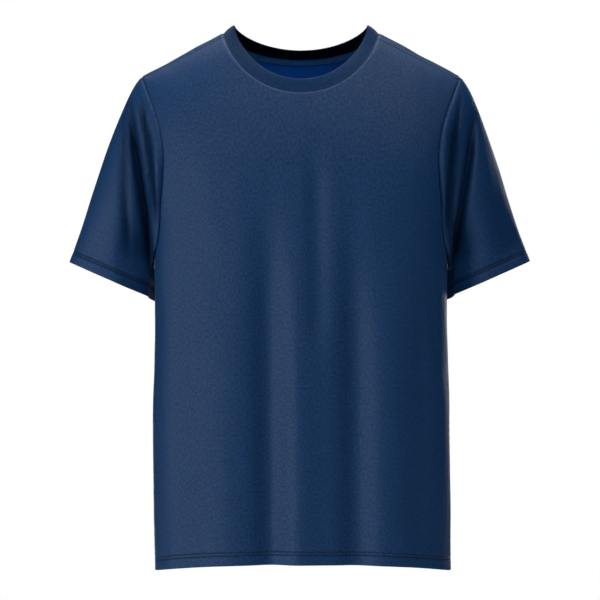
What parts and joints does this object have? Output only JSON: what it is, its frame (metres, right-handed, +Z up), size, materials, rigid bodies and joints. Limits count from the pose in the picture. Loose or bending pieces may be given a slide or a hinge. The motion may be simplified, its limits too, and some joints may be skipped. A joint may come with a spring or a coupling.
{
  "type": "crew neck t-shirt",
  "caption": "Short-sleeved crew neck t-shirt in navy cotton jersey, filled out as when worn, with open neck, cuffs and hem.",
  "frame": {"origin": "middle of the neck opening, level with the highest points of the neck rib", "axes": "+Z up along the wearer's spine, the front of the shirt faces -Y, and +X is the wearer's left"},
  "size_m": [0.6127, 0.2238, 0.7208],
  "materials": {
    "jersey": "fine cotton jersey in mottled navy, soft and matt with a faint sheen on the folds, brighter blue inside",
    "rib": "fine rib knit in navy, matt, folded double round the neck",
    "tape": "narrow jersey tape in navy, stitched flat over the back neck seam"
  },
  "bodies": {
    "root": {"front": "jersey", "back": "jersey", "sleeve_right": "jersey", "sleeve_left": "jersey", "collar": "rib", "neck_tape": "tape"}
  },
  "joints": []
}
